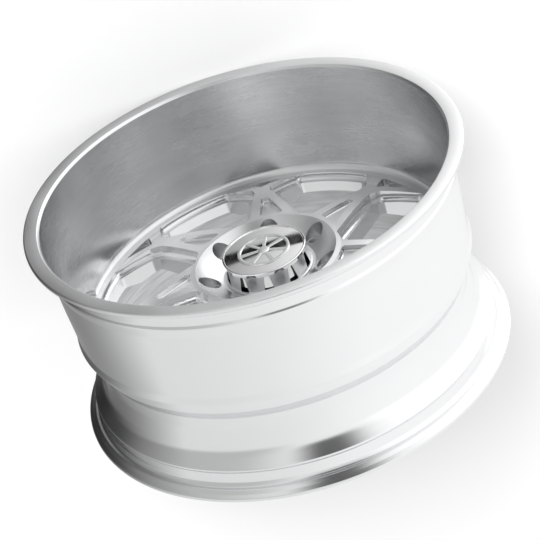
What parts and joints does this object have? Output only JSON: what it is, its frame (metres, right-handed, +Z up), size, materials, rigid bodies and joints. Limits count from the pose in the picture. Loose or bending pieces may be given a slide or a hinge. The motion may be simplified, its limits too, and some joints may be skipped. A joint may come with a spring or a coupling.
{
  "type": "forged racing wheel rim",
  "caption": "Deep-dish forged wheel rim: wide drop-centre barrel, welded-in centre with V-shaped swept spokes, slotted pull-off hub cap and a screwed-in metal tyre valve.",
  "frame": {"origin": "centre of the wheel: on the spin axis, midway between the two outer flange faces", "axes": "the wheel spins about Y; the street face and deep dish look toward -Y, the brake side toward +Y, +Z up; the tyre valve lies close to +X"},
  "size_m": [0.5478, 0.278, 0.5478],
  "materials": {
    "barrel_alloy": "spun and turned bare aluminium with fine circumferential tool lines",
    "center_alloy": "forged and milled bare aluminium, satin with fine cutter lines",
    "weld_alloy": "dressed weld, satin aluminium",
    "insert_steel": "turned steel seat",
    "cap_alloy": "turned aluminium with milled slots",
    "cap_mirror": "mirror polished disc",
    "emblem_alloy": "satin relief",
    "screw_steel": "zinc plated steel",
    "seal_rubber": "black moulded rubber",
    "valve_alloy": "anodised turned aluminium",
    "core_brass": "turned brass",
    "spring_steel": "drawn wire"
  },
  "bodies": {
    "wheel": {"barrel": "barrel_alloy", "forged_center": "center_alloy", "front_weld_ring": "weld_alloy", "rear_weld_bead": "weld_alloy", "lug_seat_inserts": "insert_steel", "valve_stem": "valve_alloy", "valve_grommet": "seal_rubber", "valve_washer": "valve_alloy", "valve_nut": "valve_alloy", "valve_core_body": "core_brass", "valve_core_spring": "spring_steel"},
    "center_cap": {"center_cap_body": "cap_alloy", "center_cap_plate": "cap_mirror", "center_cap_emblem": "emblem_alloy", "cap_plate_screws": "screw_steel", "cap_o_ring": "seal_rubber"},
    "core_pin": {"valve_core_pin": "core_brass"},
    "valve_dust_cap": {"valve_cap": "valve_alloy", "valve_cap_seal": "seal_rubber"}
  },
  "joints": [
    {"name": "cap_pull", "type": "slide", "parent": "wheel", "child": "center_cap", "axis": [0, -1, 0], "range_m": [0, 0.03]},
    {"name": "valve_cap_unscrew", "type": "slide", "parent": "wheel", "child": "valve_dust_cap", "axis": [-0.9987, 0, 0.0506], "range_m": [0, 0.014]},
    {"name": "core_pin_press", "type": "slide", "parent": "wheel", "child": "core_pin", "axis": [0.9987, 0, -0.0506], "range_m": [0, 0.0008], "stiffness_N_per_m": 600, "springref_m": -0.001, "deforming": ["valve_core_spring"]}
  ]
}
